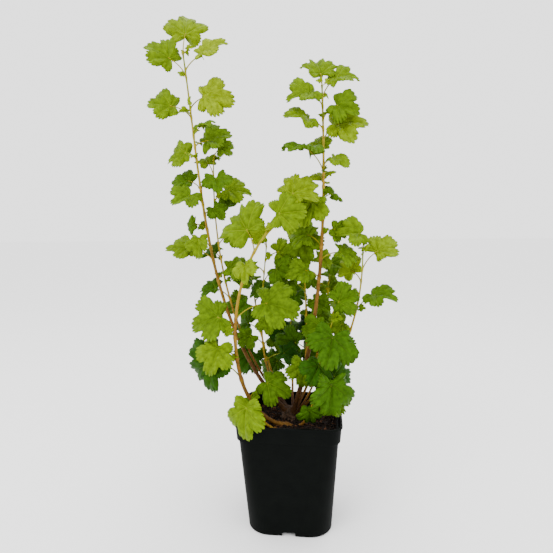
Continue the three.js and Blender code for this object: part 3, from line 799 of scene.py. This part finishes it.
def side_leaves(place):
    """Small leaves in the axils, and the young ones round the tip."""
    seed = place["seed"]
    outward = place["knee"] - place["root"]
    way = math.degrees(math.atan2(outward[0], outward[1])) / HOUR_DEGREES
    by_chance = int(chance(seed, DRAW["count"]) < SIDE_LEAF_CHANCE)
    for _ in range(TIP_LEAVES if place["share"] > TIP_SHARE else by_chance):
        seed += SIDE_SEED_STEP
        width = lerp(*SIDE_LEAF_WIDTH, chance(seed, DRAW["width"]))
        hour = way + SIDE_HOUR_SWING * swing(seed, DRAW["hour"])
        rise = SIDE_RISE + SIDE_RISE_SWING * swing(seed, DRAW["rise"])
        stalk = width * lerp(*SIDE_STALK_SHARE, chance(seed, DRAW["stalk"]))
        knee = place["root"] + climbing(rise, hour) * stalk / 2
        base = knee + climbing(rise - SIDE_STALK_ARCH, hour) * stalk / 2
        midrib = climbing(SIDE_CLIMB + SIDE_CLIMB_SWING * swing(seed, DRAW["droop"]), hour)
        wanted = unit(LIGHT + UP * UPWARD_PULL)
        up = unit(wanted - midrib * np.dot(wanted, midrib))
        yield {
            "root": place["root"], "knee": knee, "base": base, "midrib": midrib, "up": up,
            "side": np.cross(midrib, up), "width": width, "seed": seed,
            "fold": math.radians(lerp(*SIDE_FOLD, chance(seed, DRAW["fold"]))),
            "bend": SIDE_BEND + SIDE_BEND_SWING * swing(seed, DRAW["bend"]),
        }


# Stems: close rings with a swelling at each leaf
STEM_SIDES = 16
STEM_STEP = 2.4
NODE_SWELL = 0.34
NODE_REACH = 3.2
STEM_END = 0.6

# A shoot with no stub on the crown rises beside it, and curves down into the compost at its foot.
SUNK_STEPS = 6
SUNK_DROP = 8

# Bark waves: swell share, waves round the stem, turn for each millimetre up it, turn for each seed
BARK_WAVES = ((0.05, 5, 0.21, 1), (0.04, 9, -0.13, 2), (0.035, 3, 0.9, 0))
BARK_DEPTH = (0.35, 1.25)

# Old wood ends at this place among the stem colours, and each internode is a little darker or lighter.
WOOD_END = 2.6
SHADE_SWING = 0.35
SHADE_RATE = 9.1


def stem_paints(shoot, shares, nodes):
    """Material place of each ring: wood below, green at the tip, uneven by internode."""
    woody = WOODY[shoot.name]
    last = len(STEM_COLOURS) - 1
    old = lerp(WOOD_START.get(shoot.name, 0), WOOD_END, shares / woody)
    young = lerp(WOOD_END, last, (shares - woody) / (1 - woody))
    place = np.where(shares < woody, old, young)
    internode = np.searchsorted(np.sort(nodes), shares)
    place += SHADE_SWING * np.sin(SHADE_RATE * internode + shoot.seed)
    return np.rint(STEM_BLENDS * np.clip(place, 0, last)).astype(int)


def add_stem(gather, shoot, places):
    """The whole of one shoot's limb and stem, from inside the crown to the tip."""
    steps = int(shoot.length / STEM_STEP)
    sunk_steps = 0 if shoot.stub else SUNK_STEPS
    shares = np.linspace(-sunk_steps / steps, 1, steps + sunk_steps + 1)
    sunk = SUNK_DROP * (np.minimum(shares, 0) * steps / SUNK_STEPS) ** 2
    nodes = np.array([place["share"] for place in places])
    away = (shares[:, None] - nodes[None, :]) * shoot.length / NODE_REACH
    girth = np.array([shoot.girth(max(share, 0)) for share in shares])
    girth *= 1 + NODE_SWELL * np.exp(-away ** 2).sum(1)
    girth[-1] *= STEM_END
    turn = around(STEM_SIDES)
    height = shares[:, None] * shoot.length
    ridges = sum(size * np.sin(count * turn + rate * height + step * shoot.seed)
                 for size, count, rate, step in BARK_WAVES)
    age = np.clip(1 - shares[:, None] / WOODY[shoot.name], 0, 1)
    line = [shoot.point(share) - UP * drop for share, drop in zip(shares, sunk)]
    points, faces = tube(line, girth, STEM_SIDES, ridges * lerp(*BARK_DEPTH, age))
    paints = stem_paints(shoot, shares, nodes)
    ends = np.repeat((paints[0], paints[-1]), STEM_SIDES)
    gather.add(points, faces, np.concatenate((np.repeat(paints[:-1], STEM_SIDES), ends)))


# Shoots: leaves in one piece, and all the wood and stalks in another

# Leaves further back are darker by painted shade, and small ones lighter.
TONE_SWING = 0.19
PAINTED_SHADE_DEPTH = 0.0012
PAINTED_SHADE_MIDDLE = 20
YOUNG_TONE = 0.15

# A leaf behind a bright one is darker too. It is given by its place among the shoot's kept leaves.
SHADED_LEAF = {"front_left": 1}
SHADE = 0.22

# Paints of buds and stalks are places among the stem materials. Light leaves have young stalks.
PALE_TONE = 0.45
BUD_PAINT = 9
YOUNG_STALK_PAINT = 16
OLD_STALK_PAINT = 18


def leaf_tone(shoot, number, place):
    """How light one of a shoot's kept leaves is, with painted shade on low, back and shaded leaves and
    painted light on high ones.
    """
    tone = lerp(*TONES[shoot.name], (place["share"] - shoot.bare) / (1 - shoot.bare))
    tone += TONE_SWING * swing(place["seed"], DRAW["tone"])
    tone -= PAINTED_SHADE_DEPTH * (place["base"][1] - PAINTED_SHADE_MIDDLE)
    return tone - SHADE if number == SHADED_LEAF.get(shoot.name) else tone


def dress_shoot(shoot):
    places = kept_places(shoot)
    leaves, stem = Gather(), Gather()
    add_stem(stem, shoot, places)
    for number, place in enumerate(places):
        tone = leaf_tone(shoot, number, place)
        add_leaf(leaves, place, *leaf_paints(tone))
        add_stalk(stem, place, YOUNG_STALK_PAINT if tone > PALE_TONE else OLD_STALK_PAINT)
        add_bud(stem, place, shoot, BUD_PAINT)
        for small in side_leaves(place):
            add_leaf(leaves, small, *leaf_paints(tone + YOUNG_TONE))
            add_stalk(stem, small, YOUNG_STALK_PAINT, SIDE_STALK)
    leaves.piece(f"leaves_{shoot.name}", leaf_materials, "foliage", f"foliage_{shoot.name}")
    stem.piece(f"stem_{shoot.name}", stem_materials, "bark", f"limb_{shoot.name}", f"foliage_{shoot.name}")


for name, values in SHOOTS.items():
    dress_shoot(Shoot(name, values))


# Crown: the stump's bark, with knots and a wobble of level
CROWN_ROWS = 26
CROWN_SIDES = 60
CROWN_SINK = 1.5

# The wobble in millimetres and each knot as a swell share, with waves round the stump and turn up it
CROWN_WOBBLE = (0.6, 6, 9)
KNOTS = ((0.05, 11, 7), (0.04, 17, -13), (0.05, 4, 21))


def crown_stump():
    turn = around(CROWN_SIDES)
    heights, girths = zip(*CROWN_PROFILE)
    wobble, waves, twist = CROWN_WOBBLE
    rings = []
    for height in np.linspace(0, 1, CROWN_ROWS):
        radius = CROWN_RADIUS * np.interp(height, heights, girths)
        lobes = 1 + CROWN_LOBING * (1 - height) * np.cos(CROWN_LOBES * turn)
        knots = 1 + sum(size * np.sin(count * turn + rate * height) for size, count, rate in KNOTS)
        reach = radius * lobes * knots
        level = SOIL_LEVEL - CROWN_SINK + (CROWN_HEIGHT + GAP + CROWN_SINK) * height
        rings.append(np.stack((
            CROWN_CENTRE[0] + reach * CROWN_STRETCH[0] * np.cos(turn),
            CROWN_CENTRE[1] + reach * CROWN_STRETCH[1] * np.sin(turn),
            level + wobble * height * np.sin(waves * turn + twist * height),
        ), -1))
    return loft(rings)


stump = Gather()
stump.add(*crown_stump())
stump.piece("crown_bark", [bark_material], "bark", "crown")


# Pot: the source's profile with its edges eased, ringed closely, and its drain notches cut
CORNER_STEPS = 12
SIDE_STEPS = 10
EDGE_EASE = 0.45
EASE_SHARES = (0.25, 0.5, 0.75, 1)
RING_STEP = 5
SHARP_ANGLE = 32


def square_ring(half, corner, height):
    """A level square ring with rounded corners, with evenly spaced points along its sides."""
    flat = half - corner
    points = []
    for quarter in range(4):
        x, y = ((1, -1), (1, 1), (-1, 1), (-1, -1))[quarter]
        first = math.pi / 2 * (quarter - 1)
        turn = np.linspace(first, first + math.pi / 2, CORNER_STEPS)
        arc = np.stack((x * flat + corner * np.cos(turn), y * flat + corner * np.sin(turn)), -1)
        along = np.array((-math.sin(turn[-1]), math.cos(turn[-1])))
        side = arc[-1] + np.outer(np.linspace(0, 2 * flat, SIDE_STEPS)[1:-1], along)
        points += [*arc, *side]
    return np.array([(*point, height) for point in points])


def body_half(height):
    return lerp(BASE_HALF, BODY_TOP_HALF, height / COLLAR_FOOT)


def body_corner(height):
    return lerp(BASE_CORNER, TOP_CORNER, height / COLLAR_FOOT)


def pot_profile():
    """Half width, corner radius and height of each step up the outside and down the inside."""
    lip_inner = LIP_HALF - COLLAR_STEP - WALL
    inner_corner = TOP_CORNER - WALL
    return [
        (BASE_HALF - BASE_EDGE, BASE_CORNER - BASE_EDGE, 0),
        (body_half(BASE_EDGE), body_corner(BASE_EDGE), BASE_EDGE),
        (BODY_TOP_HALF, TOP_CORNER, COLLAR_FOOT),
        (COLLAR_HALF, TOP_CORNER, COLLAR_FOOT),
        (LIP_HALF - COLLAR_STEP, TOP_CORNER, LIP_FOOT),
        (LIP_HALF, TOP_CORNER + COLLAR_STEP, LIP_FOOT),
        (LIP_HALF, TOP_CORNER + COLLAR_STEP, POT_HEIGHT),
        (lip_inner, inner_corner, POT_HEIGHT),
        (COLLAR_HALF - WALL, inner_corner, COLLAR_FOOT + WALL),
        (BODY_TOP_HALF - WALL, inner_corner, COLLAR_FOOT + WALL),
        (body_half(FLOOR) - WALL, body_corner(FLOOR) - WALL, FLOOR),
    ]


def eased(profile):
    """The profile with all edges but its first and last rounded, and long stretches ringed closely."""
    profile = np.array(profile, float)
    rings = [profile[0]]
    for before, here, after in zip(profile, profile[1:], profile[2:]):
        first = here + unit(before - here) * EDGE_EASE
        last = here + unit(after - here) * EDGE_EASE
        count = 2 + int(np.linalg.norm(first - rings[-1]) / RING_STEP)
        rings += list(np.linspace(rings[-1], first, count)[1:])
        rings += [lerp(lerp(first, here, share), lerp(here, last, share), share) for share in EASE_SHARES]
    rings.append(profile[-1])
    return rings


def box_points(low, high):
    ring = [(low[0], low[1]), (high[0], low[1]), (high[0], high[1]), (low[0], high[1])]
    return loft([[(x, y, z) for x, y in ring] for z in (low[2], high[2])])


def bare_mesh(name, points, faces):
    mesh = bpy.data.meshes.new(name)
    mesh.from_pydata(np.asarray(points) * MM, [], [face for group in faces for face in group.tolist()])
    mesh.update()
    piece = bpy.data.objects.new(name, mesh)
    bpy.context.collection.objects.link(piece)
    return piece


def pot_body():
    shell = bare_mesh("pot_shell", *loft([square_ring(*ring) for ring in eased(pot_profile())]))
    far, near, half = BASE_HALF + BASE_EDGE, BASE_HALF - DRAIN_LENGTH, DRAIN_WIDTH / 2
    notches = (((near, -half), (far, half)), ((-far, -half), (-near, half)),
               ((-half, near), (half, far)), ((-half, -far), (half, -near)))
    cutters = []
    for number, (low, high) in enumerate(notches):
        cutter = bare_mesh(f"notch_{number}", *box_points((*low, -CUT_MARGIN), (*high, DRAIN_HEIGHT)))
        cut = shell.modifiers.new(cutter.name, "BOOLEAN")
        cut.operation = "DIFFERENCE"
        cut.solver = "EXACT"
        cut.object = cutter
        cutters.append(cutter)
    mesh = bpy.data.meshes.new_from_object(shell.evaluated_get(bpy.context.evaluated_depsgraph_get()))
    for item in (shell, *cutters):
        bpy.data.objects.remove(item)
    mesh.name = "pot_body"
    mesh.materials.clear()
    mesh.materials.append(plastic_material)
    mesh.polygons.foreach_set("use_smooth", np.ones(len(mesh.polygons), bool))
    mesh.set_sharp_from_angle(angle=math.radians(SHARP_ANGLE))
    return mesh


dress(pot_body(), "pot_plastic", "pot")


# Compost: a bed sunk along the wall, with crumbs, chips of bark and fibres strewn on it
BED_RINGS = 46
BED_SIDE_STEP = 20
BED_SIDE_MARGIN = 1
BED_DIP = 0.5
BED_CENTRE = 0.02
SINK_START = 0.62
SINK_SPAN = 0.36
SINK_POWER = 1.6

# Lumps: height, turn for each millimetre along X and along Y, and phase
LUMPS = (
    (0.27, 0.19, 0.11, 0.0), (0.23, -0.13, 0.21, 1.2), (0.20, 0.47, -0.31, 2.0),
    (0.14, 0.59, 0.83, 0.6), (0.08, 1.70, 0.40, 0.4), (0.08, -0.50, 1.90, 2.4),
)
STREWN_MARGIN = 3
CRUMB_COUNT = 1500
CRUMB_SIZE = (0.5, 2.6)
CRUMB_SMALLNESS = 2.5
CRUMB_DENTS = (0.65, 1.3)
CRUMB_STRETCH = (0.7, 1.2)
CRUMB_LIFT = 0.25
CRUMB_SHARES = (0.62, 0.28, 0.10)
CHIP_COUNT = 260
CHIP_LENGTH = (4, 13)
CHIP_SHORTNESS = 1.6
CHIP_GIRTH = (0.25, 0.9)
CHIP_TILT = 0.16
CHIP_BOW = 0.12
CHIP_TAPER = 1.6
CHIP_LIFT = 0.5
CHIP_STEPS = 5
CHIP_SIDES = 5
CHIP_SHARES = (0.25, 0.40, 0.35)
STREW_SEED = 4142
draws = np.random.default_rng(STREW_SEED)


def bed_height(x, y):
    reach = np.maximum(np.abs(x), np.abs(y)) / BODY_TOP_HALF
    sink = SOIL_SINK * np.clip((reach - SINK_START) / SINK_SPAN, 0, 1) ** SINK_POWER
    lumps = sum(size * np.sin(rate_x * x + rate_y * y + phase) for size, rate_x, rate_y, phase in LUMPS)
    return SOIL_LEVEL - BED_DIP - sink + lumps


def compost_bed():
    inset = WALL + GAP
    foot = DRAIN_HEIGHT + GAP
    edge = SOIL_LEVEL - SOIL_SINK
    rings = [square_ring(body_half(height) - inset, body_corner(height) - inset, height)
             for height in np.arange(foot, edge - BED_SIDE_MARGIN, BED_SIDE_STEP)]
    half, corner = BODY_TOP_HALF - inset, TOP_CORNER - inset
    for share in np.linspace(1, BED_CENTRE, BED_RINGS):
        ring = square_ring(half * share, corner * share, 0)
        ring[:, 2] = bed_height(ring[:, 0], ring[:, 1])
        rings.append(ring)
    return loft(rings)


def grain_shape():
    """Corners and faces of an icosahedron of radius 1. Its faces are the trios of nearest corners,
    which lie 2 apart until the radius is made 1."""
    golden = (1 + math.sqrt(5)) / 2
    corners = np.array([
        np.roll((0, a, b * golden), turn) for turn in range(3) for a in (-1, 1) for b in (-1, 1)
    ])
    faces = []
    for trio in itertools.combinations(range(len(corners)), 3):
        a, b, c = corners[list(trio)]
        edges = (b - a, c - b, a - c)
        if np.allclose(np.linalg.norm(edges, axis=1), 2):
            outward = np.dot(np.cross(edges[0], edges[1]), a) > 0
            faces.append(trio if outward else trio[::-1])
    return corners / np.linalg.norm(corners[0]), np.array(faces)


def strewn_place():
    span = BODY_TOP_HALF - WALL - STREWN_MARGIN
    x, y = draws.uniform(-span, span, 2)
    return np.array((x, y, bed_height(x, y)))


def add_crumb(gather, grain, faces):
    """A dented, stretched grain in one of the crumb colours, which follow the earth's."""
    size = lerp(*CRUMB_SIZE, draws.random() ** CRUMB_SMALLNESS)
    shape = grain * size * draws.uniform(*CRUMB_DENTS, (len(grain), 1)) * draws.uniform(*CRUMB_STRETCH, 3)
    paint = 1 + draws.choice(len(CRUMBS), p=CRUMB_SHARES)
    gather.add(shape + strewn_place() + UP * size * CRUMB_LIFT, [faces], paint)


def add_chip(gather):
    """A thin bowed chip of bark or a fibre."""
    length = lerp(*CHIP_LENGTH, draws.random() ** CHIP_SHORTNESS)
    heading = draws.uniform(0, 2 * math.pi)
    along = np.array((math.cos(heading), math.sin(heading), draws.uniform(-CHIP_TILT, CHIP_TILT)))
    bow = np.array((-along[1], along[0], 0)) * draws.uniform(-CHIP_BOW, CHIP_BOW) * length
    shares = np.linspace(-1, 1, CHIP_STEPS)
    middle = strewn_place() + UP * CHIP_LIFT
    line = middle + np.outer(shares / 2 * length, along) + np.outer(shares ** 2, bow)
    girth = draws.uniform(*CHIP_GIRTH) * (1 - CHIP_TAPER * (shares / 2) ** 2)
    gather.add(*tube(line, girth, CHIP_SIDES), 1 + draws.choice(len(CRUMBS), p=CHIP_SHARES))


bed = Gather()
bed.add(*compost_bed())
grain, grain_faces = grain_shape()
for _ in range(CRUMB_COUNT):
    add_crumb(bed, grain, grain_faces)
for _ in range(CHIP_COUNT):
    add_chip(bed)
bed.piece("compost_bed", earth_materials, "compost", "compost")


# Stage: a pale floor, a pale world, soft lights and the camera where the photo was taken
FLOOR_HALF = 40000
FLOOR_DEPTH = 40
WORLD_COLOUR = (1, 1, 1, 1)
WORLD_STRENGTH = 2.3

# Lights: place and size in metres, and power in watts
LIGHT_AIM = (0, 0, 0.35)
LIGHTS = {
    "key_light": ((-0.9, -1.5, 1.9), 1.2, 28),
    "fill_light": ((1.5, -1.2, 1.1), 1.4, 7),
    "top_light": ((0.1, 0.5, 2.2), 1.4, 12),
}

# Camera: in metres and degrees
CAMERA_PLACE = (0.0514, -0.6639, 0.4220)
CAMERA_TURN = 6.165
CAMERA_DIP = 5.157
CAMERA_ROLL = -0.494
CAMERA_FIELD = 62.39
CAMERA_RANGE = (0.05, 200)

floor_low = (-FLOOR_HALF, -FLOOR_HALF, -FLOOR_DEPTH)
floor_high = (FLOOR_HALF, FLOOR_HALF, 0)
floor = bare_mesh("floor", *box_points(floor_low, floor_high))
floor.data.materials.append(plain_material("pale_floor", PALE, **SURFACES["floor"]))

world = bpy.data.worlds.new("pale_world")
world.use_nodes = True
world.node_tree.nodes["Background"].inputs["Color"].default_value = WORLD_COLOUR
world.node_tree.nodes["Background"].inputs["Strength"].default_value = WORLD_STRENGTH
bpy.context.scene.world = world

for name, (place, size, power) in LIGHTS.items():
    light = bpy.data.lights.new(name, "AREA")
    light.shape = "DISK"
    light.size = size
    light.energy = power
    lamp = bpy.data.objects.new(name, light)
    lamp.location = place
    lamp.rotation_euler = (Vector(LIGHT_AIM) - Vector(place)).to_track_quat("-Z", "Y").to_euler()
    bpy.context.collection.objects.link(lamp)

lens = bpy.data.cameras.new("camera")
lens.sensor_fit = "HORIZONTAL"
lens.angle = math.radians(CAMERA_FIELD)
lens.clip_start, lens.clip_end = CAMERA_RANGE
camera = bpy.data.objects.new("camera", lens)
turn = Matrix.Rotation(math.radians(CAMERA_TURN), 3, "Z")
dip = Matrix.Rotation(math.radians(90 - CAMERA_DIP), 3, "X")
roll = Matrix.Rotation(math.radians(CAMERA_ROLL), 3, "Z")
camera.matrix_world = Matrix.LocRotScale(Vector(CAMERA_PLACE), turn @ dip @ roll, None)
bpy.context.collection.objects.link(camera)
bpy.context.scene.camera = camera

bpy.context.view_layer.update()
